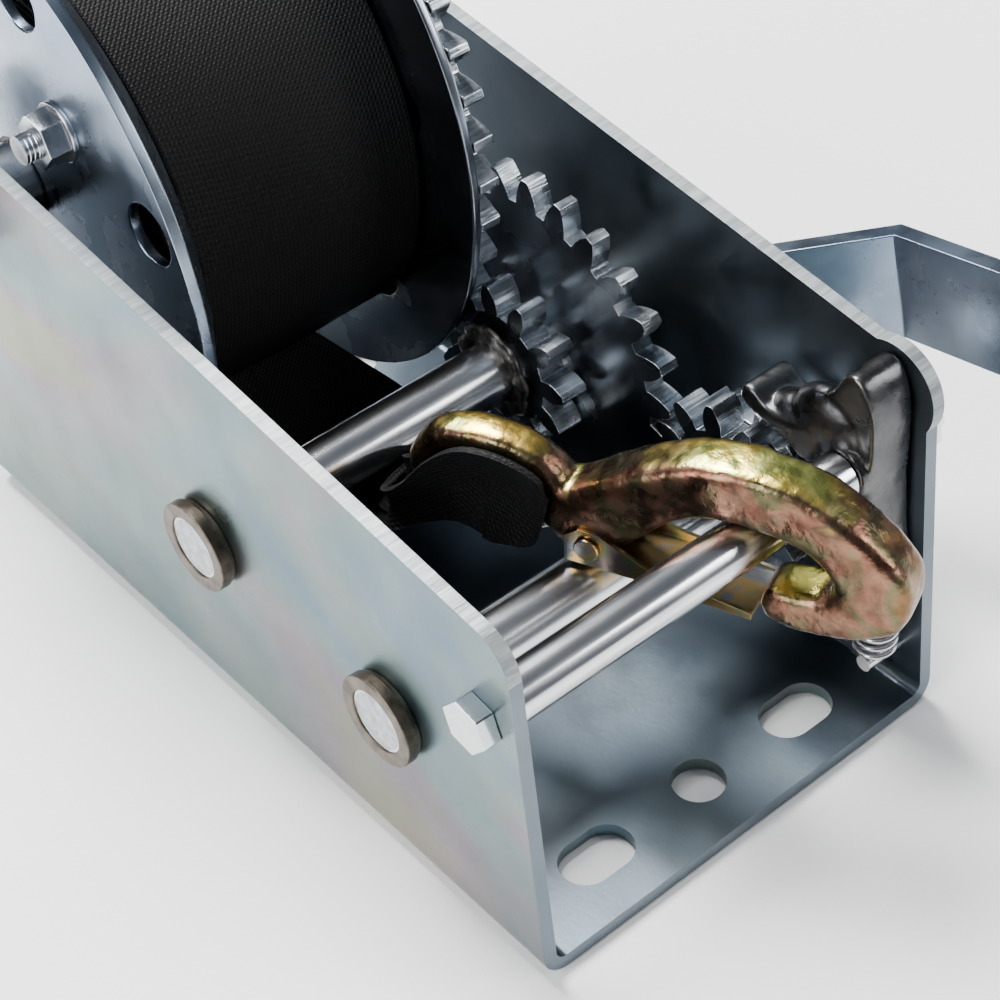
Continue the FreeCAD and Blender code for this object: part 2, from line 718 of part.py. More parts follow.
# ---------------------------------------------------------------- handle
def arm_direction():
    angle = math.radians(dim("arm_angle").value)
    return V(0, -math.cos(angle), math.sin(angle))


def grip_centre():
    """The grip's axis, at the far end of the arm."""
    along = arm_direction() * dim("arm_reach").value
    return (as_dim(dim("inter_y").value + along.y), as_dim(dim("inter_z").value + along.z))


def make_arm():
    """A flat bar with a set-out between the shaft and the grip."""
    along = arm_direction()
    across = along.cross(V(1, 0, 0))
    body = new_body("handle_arm")
    turn = FreeCAD.Rotation(V(1, 0, 0), along, V(1, 0, 0).cross(along), "XYZ")
    body.Placement = FreeCAD.Placement(V(0, dim("inter_y").value, dim("inter_z").value), turn)
    left = dim("arm_left")
    jog = dim("arm_jog")
    reach = dim("arm_reach")
    thick = dim("arm_thick")
    end = dim("arm_width") / 2
    bend_in = dim("arm_bend_in")
    bend_out = dim("arm_bend_out")
    shift = thick * 0.47
    sketch = new_sketch(body, "XY_Plane")
    draw_polygon(sketch, [
        (left, -end), (left, bend_in), (left + jog, bend_out), (left + jog, reach + end),
        (left + jog + thick, reach + end), (left + jog + thick, bend_out - shift),
        (left + thick, bend_in - shift), (left + thick, -end),
    ])
    pad(body, sketch, dim("arm_width"), middle=True)
    doc.recompute()
    corners = [name for name in edges_where(body.Shape, lambda p: True)
               if abs(abs(arm_axis_part(body, name)) - 1) < 1e-6]
    round_edges(body, corners, end - 0.5)
    doc.recompute()
    hole = new_sketch(body, "YZ_Plane")
    square = dim("crank_square") / 2 + 0.05
    draw_polygon(hole, [(-square, -square), (square, -square), (square, square), (-square, square)])
    draw_circle(hole, (reach, ZERO), dim("grip_bolt"))
    pocket_through(body, hole)
    return body


def arm_axis_part(body, name):
    """How far an end edge of the bar runs along X, and only where it is at either end of the bar."""
    edge = body.Shape.getElement(name)
    local = body.Placement.inverse().multVec(edge.Vertexes[0].Point)
    at_end = local.y < 0 or local.y > dim("arm_reach").value
    return edge.tangentAt(0).x if at_end else 0.0


def make_handle():
    make_arm()
    centre = grip_centre()
    arm_outer = dim("arm_left") + dim("arm_jog") + dim("arm_thick")
    grip_start = arm_outer + 2.0
    grip_end = grip_start + dim("grip_long")
    bolt = dim("grip_bolt")
    radius = dim("grip_radius")
    ring("grip_washer", centre, arm_outer, arm_outer + 1.8, bolt, bolt + 6)
    turned("handle_grip", centre, [
        (grip_start, bolt + 0.05), (grip_end, bolt + 0.05), (grip_end, radius - 3), (grip_end - 4, radius),
        (grip_end - 30, radius + 1.5), (grip_start + 30, radius - 0.5), (grip_start + 6, radius),
        (grip_start, radius - 3),
    ])
    turned("grip_bolt", centre, [
        (arm_outer - dim("arm_thick") - 1.5, ZERO), (grip_end + 7, ZERO), (grip_end + 7, bolt + 1),
        (grip_end + 0.4, bolt + 4), (grip_end + 0.4, bolt), (arm_outer - dim("arm_thick"), bolt),
        (arm_outer - dim("arm_thick"), bolt + 2.5), (arm_outer - dim("arm_thick") - 1.5, bolt + 2.5),
    ])
    nut_start = dim("arm_left") + dim("arm_thick") + 1.8
    ring("handle_washer", INTER, dim("arm_left") + dim("arm_thick"), nut_start, dim("crank_thread"), as_dim(10.5))
    nut("handle_nut", INTER, nut_start, dim("m10_nut"), dim("m10_flats").value, dim("crank_thread"), 12)


# ---------------------------------------------------------------- the whole winch
make_frame()
for shaft_name, shaft_axis in (("drive", DRIVE), ("intermediate", INTER)):
    make_bush("%s_bush_left" % shaft_name, shaft_axis, -1)
    make_bush("%s_bush_right" % shaft_name, shaft_axis, 1)
    make_shaft("%s_shaft" % shaft_name, shaft_axis)
    make_clip("%s_retaining_ring" % shaft_name, shaft_axis)

# The gears mesh at rest: each follower's tooth faces a gap of the gear before it.
drum_phase = math.radians(178.5)
inter_to_drum = direction(INTER, DRUM)
drum_to_inter = inter_to_drum + math.pi
drum_count = int(SIZES["drum_teeth"])
small_count = int(SIZES["small_teeth"])
big_count = int(SIZES["big_teeth"])
drive_count = int(SIZES["drive_teeth"])
drum_lead = (drum_phase - drum_to_inter) * drum_count
small_phase = inter_to_drum + (math.pi - drum_lead) / small_count
big_phase = math.radians(88.0)
inter_to_drive = direction(INTER, DRIVE)
drive_to_inter = inter_to_drive + math.pi
big_lead = (big_phase - inter_to_drive) * big_count
drive_phase = drive_to_inter + (math.pi - big_lead) / drive_count

shaft_bore = dim("shaft_radius")
make_drum_gear()
gear("small_pinion", INTER, "small_teeth", dim("small_left"), dim("small_thick"), shaft_bore, small_phase)
gear("big_gear", INTER, "big_teeth", dim("big_left"), dim("big_thick"), shaft_bore, big_phase)
gear("drive_pinion", DRIVE, "drive_teeth", dim("drive_left"), dim("drive_thick"), shaft_bore, drive_phase)
make_ratchet()

small_right = dim("small_left") + dim("small_thick")
big_right = dim("big_left") + dim("big_thick")
turned("pinion_weld", INTER, [
    (dim("small_left") - 4.2, shaft_bore), (dim("small_left"), shaft_bore), (dim("small_left"), shaft_bore + 4.4),
    (dim("small_left") - 1.6, shaft_bore + 3.4), (dim("small_left") - 3.4, shaft_bore + 1.2),
])
ring("gear_spacer", INTER, small_right, dim("big_left"), shaft_bore, dim("hub_radius"))
ring("intermediate_collar", INTER, big_right, inner_face - 0.3, shaft_bore, dim("hub_radius"))
ratchet_right = dim("ratchet_left") + dim("ratchet_thick")
ring("drive_collar", DRIVE, ratchet_right, inner_face - 0.3, shaft_bore, dim("hub_radius"))

make_flange("drum_flange_left", dim("left_flat"), dim("left_thick"), dim("left_flare"), -1)
make_flange("drum_flange_right", dim("right_flat"), dim("right_thick"), dim("right_flare"), 1)
left_flange_face = dim("left_flat") - dim("left_thick")
right_flange_face = dim("right_flat") + dim("right_thick")
gear_right = dim("drum_gear_left") + dim("drum_gear_thick")
ring("drum_core", DRUM, dim("left_flat"), dim("right_flat"), dim("core_inner"), dim("core_outer"))
ring("gear_hub", DRUM, right_flange_face, gear_right, dim("core_inner"), dim("core_outer"))
ring("drum_bushing", DRUM, dim("left_flat") - 2, gear_right + 1, dim("drum_bolt") + dim("running_gap"),
     dim("core_inner"))
ring("drum_spacer_left", DRUM, -inner_face, dim("left_flat") - 2.4, dim("drum_bolt") + 0.02, dim("drum_tube"))
ring("drum_spacer_right", DRUM, gear_right + 1.4, inner_face, dim("drum_bolt") + 0.02, dim("drum_tube"))
hex_bolt("drum_bolt", DRUM, -half_width, dim("m12_head"), SIZES["m12_flats"],
         half_width + dim("m12_nut") + 5, dim("drum_bolt"), 20)
nut("drum_nut", DRUM, half_width, dim("m12_nut"), SIZES["m12_flats"], dim("drum_bolt"), 5)

anchor = anchor_spot()
ANCHOR = (DRUM[0] + anchor.x, DRUM[1] + anchor.y)
washer_face = left_flange_face - dim("washer_thick")
head_face = right_flange_face
anchor_end = washer_face - dim("m6_nut") - 3.4
turned("anchor_bolt", ANCHOR, [
    (anchor_end, ZERO), (head_face + 3.4, ZERO), (head_face + 3.4, dim("anchor_head") - 2),
    (head_face + 1.8, dim("anchor_head")), (head_face, dim("anchor_head")), (head_face, dim("anchor_bolt")),
    (anchor_end, dim("anchor_bolt")),
])
ring("anchor_washer", ANCHOR, washer_face, left_flange_face, dim("anchor_bolt"), dim("m6_washer"))
nut("anchor_nut", ANCHOR, washer_face - dim("m6_nut"), dim("m6_nut"), SIZES["m6_flats"], dim("anchor_bolt"), 8)
make_wound_strap()
make_strap_tail()

tie_end = half_width + dim("washer_thick") + dim("m6_nut") + 3
hex_bolt("tie_bolt", TIE, -half_width, dim("m6_head"), SIZES["m6_flats"], tie_end, dim("tie_bolt"), 10.5)
ring("tie_washer", TIE, half_width, half_width + dim("washer_thick"), dim("tie_bolt"), dim("m6_washer"))
nut("tie_nut", TIE, half_width + dim("washer_thick"), dim("m6_nut"), SIZES["m6_flats"], dim("tie_bolt"), 15)
ring("tie_tube", TIE, -inner_face, dim("pawl_left") - 0.3, dim("tie_bolt"), dim("tie_tube"))
make_pawl()
make_pawl_spring()
make_spring_seat()

make_hook()
make_latch()
make_latch_rivet()
make_handle()

doc.recompute()

# ---------------------------------------------------------------- checks and files
for item in doc.Objects:
    if "Invalid" in item.State or "Error" in item.State:
        raise RuntimeError("%s failed to build: %s" % (item.Label, item.State))
for item in sub_parts:
    if item.Shape.isNull() or not item.Shape.isValid():
        raise RuntimeError("%s has no valid shape" % item.Label)

os.makedirs("parts", exist_ok=True)
for item in sub_parts:
    item.Shape.exportStep("parts/%s.step" % item.Label)
    print("%-24s %10.1f mm3  %d solids" % (item.Label, item.Shape.Volume, len(item.Shape.Solids)))
print(len(sub_parts), "nodes")
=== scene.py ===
"""The looks of a boat trailer winch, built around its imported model. Metres, the model's own frame."""

import json
import math
import random

import bmesh
import bpy
from mathutils import Matrix, Vector, noise


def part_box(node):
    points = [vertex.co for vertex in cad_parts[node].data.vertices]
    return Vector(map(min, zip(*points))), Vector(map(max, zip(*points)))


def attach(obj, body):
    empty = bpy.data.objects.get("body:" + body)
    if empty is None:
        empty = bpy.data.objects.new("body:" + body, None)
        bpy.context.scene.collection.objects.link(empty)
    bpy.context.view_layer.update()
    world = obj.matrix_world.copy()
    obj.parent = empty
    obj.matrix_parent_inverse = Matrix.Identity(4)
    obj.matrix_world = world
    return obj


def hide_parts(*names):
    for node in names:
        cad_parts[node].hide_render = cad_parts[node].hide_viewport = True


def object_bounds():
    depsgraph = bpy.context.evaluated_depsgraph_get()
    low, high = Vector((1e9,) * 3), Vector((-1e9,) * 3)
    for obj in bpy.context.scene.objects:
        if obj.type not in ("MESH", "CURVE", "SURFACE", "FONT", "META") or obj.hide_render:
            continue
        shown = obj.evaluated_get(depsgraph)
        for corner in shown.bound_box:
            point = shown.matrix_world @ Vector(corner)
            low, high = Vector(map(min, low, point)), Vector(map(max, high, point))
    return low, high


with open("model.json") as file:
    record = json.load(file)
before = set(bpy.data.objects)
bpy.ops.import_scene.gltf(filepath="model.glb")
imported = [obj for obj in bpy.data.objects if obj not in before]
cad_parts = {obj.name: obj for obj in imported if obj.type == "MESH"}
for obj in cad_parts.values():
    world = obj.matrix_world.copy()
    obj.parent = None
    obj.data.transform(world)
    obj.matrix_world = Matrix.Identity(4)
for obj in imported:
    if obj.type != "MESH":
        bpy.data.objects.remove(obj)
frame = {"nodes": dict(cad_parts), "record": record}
cad_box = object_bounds()
nodes = frame["nodes"]
MM = 0.001
slot_of = {item["node"]: item["material_slot"] for item in frame["record"]["subparts"]}
body_of = {}
for body_name, members in frame["record"]["behaviour"]["bodies"].items():
    for member in members:
        body_of[member] = body_name


def joint_place(name):
    """Where a joint's axis runs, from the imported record."""
    for joint in frame["record"]["behaviour"]["joints"]:
        if joint["name"] == name:
            return Vector(joint["pos_m"])
    raise KeyError(name)


def mid(node):
    """The middle of a node's box."""
    low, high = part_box(node)
    return (Vector(low) + Vector(high)) / 2


def left_of(node):
    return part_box(node)[0][0]


def right_of(node):
    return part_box(node)[1][0]


DRUM = joint_place("drum_spin")
INTER = joint_place("intermediate_spin")
DRIVE = joint_place("drive_spin")
TIE = joint_place("pawl_swing")


# ---------------------------------------------------------------- materials
class Look:
    """A material's node tree with short ways to add to it."""

    def __init__(self, name, color, rough, metallic):
        self.material = bpy.data.materials.new(name)
        self.material.use_nodes = True
        self.tree = self.material.node_tree
        self.shader = self.tree.nodes["Principled BSDF"]
        self.shader.inputs["Base Color"].default_value = (*color, 1)
        self.shader.inputs["Roughness"].default_value = rough
        self.shader.inputs["Metallic"].default_value = metallic
        self.coords = self.add("ShaderNodeTexCoord").outputs["Object"]

    def add(self, kind, **settings):
        node = self.tree.nodes.new(kind)
        for key, value in settings.items():
            setattr(node, key, value)
        return node

    def link(self, start, end):
        self.tree.links.new(start, end)

    def stretched(self, scale):
        """The object's own coordinates, scaled along each axis."""
        place = self.add("ShaderNodeMapping")
        place.inputs["Scale"].default_value = scale
        self.link(self.coords, place.inputs["Vector"])
        return place.outputs["Vector"]

    def grain(self, scale, detail=4.0, stretch=(1, 1, 1), distortion=0.0):
        """A noise field from 0 to 1; a stretch below 1 draws its marks out along that axis."""
        node = self.add("ShaderNodeTexNoise")
        node.inputs["Scale"].default_value = scale
        node.inputs["Detail"].default_value = detail
        node.inputs["Distortion"].default_value = distortion
        self.link(self.stretched(stretch), node.inputs["Vector"])
        return node.outputs["Fac"]

    def ramp(self, value, stops):
        """A value turned into colour. A stop is (place, colour), and a colour of one number is grey."""
        node = self.add("ShaderNodeValToRGB")
        ramp = node.color_ramp
        while len(ramp.elements) < len(stops):
            ramp.elements.new(0.5)
        for element, (place, color) in zip(ramp.elements, stops):
            element.position = place
            element.color = (*color, 1) if len(color) == 3 else (color[0],) * 3 + (1,)
        self.link(value, node.inputs["Fac"])
        return node.outputs["Color"]

    def mix(self, share, a, b, mode="MIX"):
        """Two colours mixed; share, a and b are each a socket, a colour or a number."""
        node = self.add("ShaderNodeMix", data_type="RGBA", blend_type=mode)
        for value, socket in ((share, node.inputs[0]), (a, node.inputs[6]), (b, node.inputs[7])):
            if isinstance(value, bpy.types.NodeSocket):
                self.link(value, socket)
            elif isinstance(value, tuple):
                socket.default_value = (*value, 1)
            else:
                socket.default_value = value
        return node.outputs[2]

    def color(self, value):
        self.link(value, self.shader.inputs["Base Color"])

    def rough_between(self, field, least, most, edges=(0.3, 0.7)):
        """Roughness from least to most, as the field rises from one edge to the other."""
        start, end = edges
        self.link(self.ramp(field, [(start, (least,)), (end, (most,))]), self.shader.inputs["Roughness"])

    def bump(self, height, strength, distance):
        """Fine relief, added to any relief that is there already."""
        node = self.add("ShaderNodeBump")
        node.inputs["Strength"].default_value = strength
        node.inputs["Distance"].default_value = distance
        self.link(height, node.inputs["Height"])
        if self.shader.inputs["Normal"].is_linked:
            self.link(self.shader.inputs["Normal"].links[0].from_socket, node.inputs["Normal"])
        self.link(node.outputs["Normal"], self.shader.inputs["Normal"])


def zinc_plate():
    """Blue zinc plating, clouded and faintly tinted."""
    look = Look("zinc_plate", (0.45, 0.51, 0.56), 0.36, 1.0)
    clouds = look.grain(16, 5, (1, 1, 1.6), distortion=0.6)
    tone = look.ramp(clouds, [
        (0.34, (0.075, 0.115, 0.15)), (0.5, (0.13, 0.17, 0.195)), (0.66, (0.21, 0.235, 0.23))])
    tint_field = look.grain(9, 3, (1, 0.6, 1.2), distortion=1.2)
    tint = look.ramp(tint_field, [
        (0.36, (0.07, 0.15, 0.22)), (0.46, (0.14, 0.21, 0.18)), (0.56, (0.24, 0.17, 0.19)),
        (0.64, (0.27, 0.24, 0.12))])
    look.color(look.mix(0.55, tone, tint))
    look.rough_between(look.grain(60, 4), 0.26, 0.42)
    look.bump(look.grain(900, 3), strength=0.10, distance=0.0002)
    return look.material


def zinc_inside():
    """The channel's inner faces: a deeper, darker blue, painted shade for the inside of the channel."""
    look = Look("zinc_inside", (0.24, 0.31, 0.38), 0.34, 1.0)
    clouds = look.grain(18, 5, (1, 1, 1.4), distortion=0.8)
    look.color(look.ramp(clouds, [
        (0.30, (0.10, 0.13, 0.16)), (0.52, (0.13, 0.16, 0.185)), (0.72, (0.17, 0.195, 0.21))]))
    look.rough_between(look.grain(80, 4), 0.28, 0.42)
    look.bump(look.grain(900, 3), strength=0.12, distance=0.0002)
    return look.material


def bright_zinc():
    look = Look("bright_zinc", (0.70, 0.71, 0.73), 0.17, 1.0)
    look.rough_between(look.grain(140, 4, (0.15, 1, 1)), 0.12, 0.27)
    look.color(look.ramp(look.grain(60, 4), [(0.3, (0.60, 0.62, 0.65)), (0.7, (0.78, 0.78, 0.78))]))
    look.bump(look.grain(500, 3, (0.1, 1, 1)), strength=0.06, distance=0.0002)
    return look.material


def gear_zinc():
    """The gears' cut teeth: bright where worn, with shear marks along the axle."""
    look = Look("gear_zinc", (0.60, 0.62, 0.64), 0.3, 1.0)
    shear_marks = look.grain(1500, 3, (0.07, 1, 1))
    worn = look.ramp(look.grain(160, 5), [
        (0.36, (0.22, 0.26, 0.31)), (0.52, (0.44, 0.48, 0.52)), (0.68, (0.80, 0.82, 0.84))])
    streaks = look.ramp(shear_marks, [(0.35, (0.16, 0.18, 0.21)), (0.65, (0.80, 0.82, 0.84))])
    look.color(look.mix(0.3, worn, streaks))
    look.rough_between(look.grain(120, 4), 0.18, 0.36, (0.35, 0.65))
    look.bump(shear_marks, strength=0.45, distance=0.0004)
    return look.material


def gear_face():
    """The flat sides of the gears, smoother and darker than their cut teeth; on the right drum flange the
    same dark look is painted shade.
    """
    look = Look("gear_face", (0.24, 0.27, 0.31), 0.24, 1.0)
    look.color(look.ramp(look.grain(14, 3), [(0.3, (0.16, 0.19, 0.23)), (0.7, (0.32, 0.35, 0.39))]))
    look.rough_between(look.grain(60, 3), 0.20, 0.30, (0.35, 0.65))
    return look.material


def flange_zinc():
    look = Look("flange_zinc", (0.50, 0.53, 0.57), 0.26, 1.0)
    clouds = look.grain(22, 4, distortion=0.8)
    look.color(look.ramp(clouds, [(0.3, (0.16, 0.22, 0.31)), (0.7, (0.34, 0.39, 0.45))]))
    look.rough_between(look.grain(90, 4), 0.20, 0.34)
    look.bump(look.grain(240, 3), strength=0.03, distance=0.0002)
    return look.material


def weld_metal():
    look = Look("weld_metal", (0.14, 0.13, 0.12), 0.42, 1.0)
    look.color(look.ramp(look.grain(420, 5), [
        (0.42, (0.07, 0.06, 0.055)), (0.62, (0.20, 0.19, 0.18)), (0.72, (0.75, 0.75, 0.74))]))
    look.bump(look.grain(700, 5), strength=0.6, distance=0.0006)
    return look.material


def bronze():
    look = Look("bronze", (0.10, 0.08, 0.06), 0.42, 1.0)
    look.color(look.ramp(look.grain(300, 5), [(0.35, (0.075, 0.062, 0.05)), (0.65, (0.17, 0.14, 0.11))]))
    look.bump(look.grain(900, 4), strength=0.25, distance=0.0003)
    return look.material


def cast_steel():
    look = Look("cast_steel", (0.12, 0.12, 0.12), 0.36, 1.0)
    look.color(look.ramp(look.grain(60, 4), [
        (0.3, (0.045, 0.046, 0.05)), (0.6, (0.105, 0.105, 0.105)), (0.8, (0.20, 0.185, 0.12))]))
    look.rough_between(look.grain(160, 4), 0.22, 0.40)
    look.bump(look.grain(380, 5), strength=0.3, distance=0.0005)
    return look.material


def spring_steel():
    look = Look("spring_steel", (0.62, 0.62, 0.63), 0.24, 1.0)
    look.bump(look.grain(700, 3), strength=0.05, distance=0.0002)
    return look.material


def yellow_zinc():
    """Yellow passivation, red, green and violet where it pooled at the sides; faces that point up are painted
    bright as if lit, and the sides painted dark as shade.
    """
    look = Look("yellow_zinc", (0.72, 0.58, 0.28), 0.3, 1.0)
    field = look.grain(46, 5, distortion=1.2)
    # The sides: the passivation's red, green and violet tints, painted dark as shade.
    side = look.ramp(field, [
        (0.30, (0.05, 0.022, 0.02)), (0.40, (0.15, 0.065, 0.025)), (0.48, (0.08, 0.075, 0.035)),
        (0.56, (0.20, 0.08, 0.055)), (0.64, (0.065, 0.04, 0.028)), (0.74, (0.28, 0.16, 0.05))])
    # Faces that point up: painted bright yellow, as if lit from above.
    top = look.ramp(field, [
        (0.32, (0.52, 0.30, 0.05)), (0.48, (0.78, 0.56, 0.10)), (0.60, (0.42, 0.48, 0.12)),
        (0.72, (0.84, 0.68, 0.22))])
    facing = look.add("ShaderNodeSeparateXYZ")
    look.link(look.add("ShaderNodeTexCoord").outputs["Normal"], facing.inputs[0])
    # Faces that point up get the painted lit colour and the others the painted shade, mixed here into one
    # coat.
    painted_top_light = look.ramp(facing.outputs[2], [(0.84, (0.0,)), (0.96, (1.0,))])
    body = look.mix(painted_top_light, side, top)
    fine = look.ramp(look.grain(260, 5), [(0.36, (0.20, 0.14, 0.08)), (0.62, (0.95, 0.80, 0.48))])
    look.color(look.mix(0.08, body, fine))
    look.rough_between(look.grain(240, 4), 0.20, 0.40)
    look.bump(look.grain(420, 5), strength=0.45, distance=0.0006)
    return look.material


def latch_zinc():
    """The latch's thin sheet and its rivet: the same passivation, more violet and blue."""
    look = Look("latch_zinc", (0.5, 0.45, 0.42), 0.22, 1.0)
    look.color(look.ramp(look.grain(70, 3, distortion=1.5), [
        (0.30, (0.20, 0.13, 0.20)), (0.42, (0.24, 0.26, 0.27)), (0.52, (0.44, 0.29, 0.11)),
        (0.62, (0.25, 0.28, 0.17)), (0.72, (0.38, 0.20, 0.26))]))
    look.bump(look.grain(500, 3), strength=0.12, distance=0.0003)
    return look.material


def webbing():
    """Woven polyester: cross ribs with a fine twill along them, from the strip's own lengths as UV."""
    look = Look("webbing", (0.012, 0.012, 0.014), 0.62, 0.0)
    look.shader.inputs["Specular IOR Level"].default_value = 0.20
    lengths = look.add("ShaderNodeTexCoord").outputs["UV"]

    def wave(direction, scale, distortion):
        node = look.add("ShaderNodeTexWave", wave_type="BANDS", bands_direction=direction, wave_profile="SIN")
        node.inputs["Scale"].default_value = scale
        node.inputs["Distortion"].default_value = distortion
        node.inputs["Detail"].default_value = 1.0
        look.link(lengths, node.inputs["Vector"])
        return node.outputs["Fac"]

    across = wave("X", 330, 0.35)
    along = wave("Y", 460, 0.5)
    twill = wave("DIAGONAL", 520, 0.6)
    weave = look.mix(0.5, across, along, "MULTIPLY")
    cloth = look.mix(0.4, weave, twill)
    wear = look.ramp(look.grain(45, 4), [(0.4, (0.0,)), (0.75, (0.3,))])
    dark = look.ramp(cloth, [(0.25, (0.002, 0.002, 0.0022)), (0.75, (0.0075, 0.0072, 0.0078))])
    worn = (0.011, 0.0105, 0.0115)
    look.color(look.mix(wear, dark, worn))
    look.bump(cloth, strength=0.75, distance=0.0004)
    return look.material


def grip_plastic():
    look = Look("grip_plastic", (0.016, 0.016, 0.018), 0.42, 0.0)
    look.rough_between(look.grain(120, 4), 0.34, 0.52)
    look.bump(look.grain(1100, 3), strength=0.15, distance=0.0002)
    return look.material


def shaft_end():
    """The speckled grey end faces of the bars."""
    look = Look("shaft_end", (0.42, 0.44, 0.46), 0.5, 0.85)
    look.color(look.ramp(look.grain(520, 4), [(0.3, (0.30, 0.32, 0.34)), (0.7, (0.56, 0.58, 0.60))]))
    look.bump(look.grain(900, 4), strength=0.2, distance=0.0002)
    return look.material


def cut_edge():
    """Sheared plate edges: paler and duller than the faces."""
    look = Look("cut_edge", (0.52, 0.56, 0.58), 0.5, 0.9)
    streaks = look.grain(700, 5, (0.10, 1, 1))
    look.color(look.ramp(streaks, [(0.25, (0.20, 0.23, 0.24)), (0.75, (0.42, 0.44, 0.44))]))
    look.bump(look.grain(1300, 3, (0.07, 1, 1)), strength=0.4, distance=0.0004)
    return look.material


looks = {maker.__name__: maker() for maker in (
    zinc_plate, bright_zinc, gear_zinc, flange_zinc, weld_metal, bronze, cast_steel, spring_steel,
    yellow_zinc, webbing, grip_plastic, shaft_end, cut_edge, zinc_inside, latch_zinc, gear_face)}

for node_name, node_object in nodes.items():
    node_object.data.materials.clear()
    node_object.data.materials.append(looks[slot_of[node_name]])


# ---------------------------------------------------------------- piece helpers
WELD_DISTANCE = 1e-6


def new_piece(name, mesh, body, slot, replaced=(), material=None):
    """A visible piece on its body; its look is the slot's own unless material names another."""
    piece = bpy.data.objects.new(name, mesh)
    bpy.context.scene.collection.objects.link(piece)
    mesh.materials.clear()
    mesh.materials.append(looks[material or slot])
    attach(piece, body)
    if replaced:
        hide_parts(*replaced)
    return piece


def apply_modifiers(piece):
    """The piece's mesh as its modifiers leave it."""
    graph = bpy.context.evaluated_depsgraph_get()
    baked = bpy.data.meshes.new_from_object(piece.evaluated_get(graph))
    piece.modifiers.clear()
    piece.data = baked


def smooth(mesh, angle):
    """Smooth shading, broken at edges sharper than this many degrees."""
    mesh.polygons.foreach_set("use_smooth", [True] * len(mesh.polygons))
    mesh.set_sharp_from_angle(angle=math.radians(angle))


def copy_of(node, name):
    """The node's own mesh as a new piece on the node's body, welded and with flat areas joined."""
    mesh = nodes[node].data.copy()
    mesh.name = name
    work = bmesh.new()
    work.from_mesh(mesh)
    bmesh.ops.remove_doubles(work, verts=work.verts, dist=WELD_DISTANCE)
    bmesh.ops.dissolve_limit(work, angle_limit=math.radians(1), verts=work.verts, edges=work.edges)
    work.to_mesh(mesh)
    work.free()
    return new_piece(name, mesh, body_of[node], slot_of[node], [node])


def eased(node, name, width, segments=2, angle=32):
    """The node with its sharp edges worn round."""
    piece = copy_of(node, name)
    bevel = piece.modifiers.new("bevel", "BEVEL")
    bevel.width = width
    bevel.segments = segments
    bevel.limit_method = "ANGLE"
    bevel.angle_limit = math.radians(angle)
    bevel.use_clamp_overlap = True
    apply_modifiers(piece)
    smooth(piece.data, angle=45)
    even = piece.modifiers.new("even", "WEIGHTED_NORMAL")
    even.mode = "FACE_AREA"
    even.weight = 60
    even.keep_sharp = True
    apply_modifiers(piece)
    return piece


def finished_mesh(work, name, angle=None):
    """The work as a mesh with its faces turned outward, smooth up to angle where one is given."""
    bmesh.ops.recalc_face_normals(work, faces=work.faces)
    mesh = bpy.data.meshes.new(name)
    work.to_mesh(mesh)
    work.free()
    if angle is not None:
        smooth(mesh, angle)
    return mesh


def round_line(place, x, radius, angle):
    """A point at a radius and an angle round the line along X through place."""
    return (x, place.y + radius * math.cos(angle), place.z + radius * math.sin(angle))


def cap_ends(work, rings):
    """Flat faces over the first and the last ring."""
    work.faces.new(rings[0])
    work.faces.new(list(reversed(rings[-1])))


def add_swell(mesh, centre, radii):
    """One ellipsoid, in millimetres, joined to the mesh."""
    work = bmesh.new()
    work.from_mesh(mesh)
    place = Matrix.Translation(Vector(centre) * MM) @ Matrix.Diagonal((*(Vector(radii) * MM), 1.0))
    bmesh.ops.create_icosphere(work, subdivisions=4, radius=1.0, matrix=place)
    work.to_mesh(mesh)
    work.free()


def forged(node, name, voxel, passes, rough=0.0, seed=0.0, grow=0.0, swells=()):
    """The node as a casting or forging: all its corners flow into each other and its skin is uneven.
    Smoothing thins the piece, and grow puts that thickness back. Swells are fuller places of the casting."""
    lumps_per_metre = 160
    finer = 2.3
    piece = copy_of(node, name)
    for centre, radii in swells:
        add_swell(piece.data, centre, radii)
    remesh = piece.modifiers.new("remesh", "REMESH")
    remesh.mode = "VOXEL"
    remesh.voxel_size = voxel
    soften = piece.modifiers.new("soften", "SMOOTH")
    soften.factor = 0.5
    soften.iterations = passes
    apply_modifiers(piece)
    mesh = piece.data
    for vertex, normal in zip(mesh.vertices, [n.vector.copy() for n in mesh.vertex_normals]):
        spot = vertex.co * lumps_per_metre + Vector((seed, 0, 0))
        vertex.co += normal * (grow + rough * (noise.noise(spot) + 0.5 * noise.noise(spot * finer)))
    mesh.polygons.foreach_set("use_smooth", [True] * len(mesh.polygons))
    return piece


def lathe(name, place, profile, body, slot, replaced=(), segments=96, closed=True, material=None, uv=False):
    """A turned piece round the line along X through place; profile lists (x, radius).
    A profile that isn't closed gets flat ends. With uv, each face carries its lengths in metres."""
    least_radius = 0.001
    work = bmesh.new()
    rings = []
    for x, radius in profile:
        ring = []
        for step in range(segments):
            angle = 2 * math.pi * step / segments
            ring.append(work.verts.new(round_line(place, x, radius, angle)))
        rings.append(ring)
    following = rings[1:] + rings[:1] if closed else rings[1:]
    layer = work.loops.layers.uv.new("lengths") if uv else None
    for index, (ring, after) in enumerate(zip(rings, following)):
        here = profile[index]
        there = profile[(index + 1) % len(profile)]
        turn = 2 * math.pi * max(here[1], least_radius) / segments
        for step in range(segments):
            beyond = (step + 1) % segments
            face = work.faces.new((ring[step], after[step], after[beyond], ring[beyond]))
            face.smooth = True
            if uv:
                rounds = (step, step, step + 1, step + 1)
                for loop, corner, v in zip(face.loops, (here, there, there, here), rounds):
                    loop[layer].uv = (corner[0] + corner[1], v * turn)
    if not closed:
        cap_ends(work, rings)
    return new_piece(name, finished_mesh(work, name, angle=38), body, slot, replaced, material)


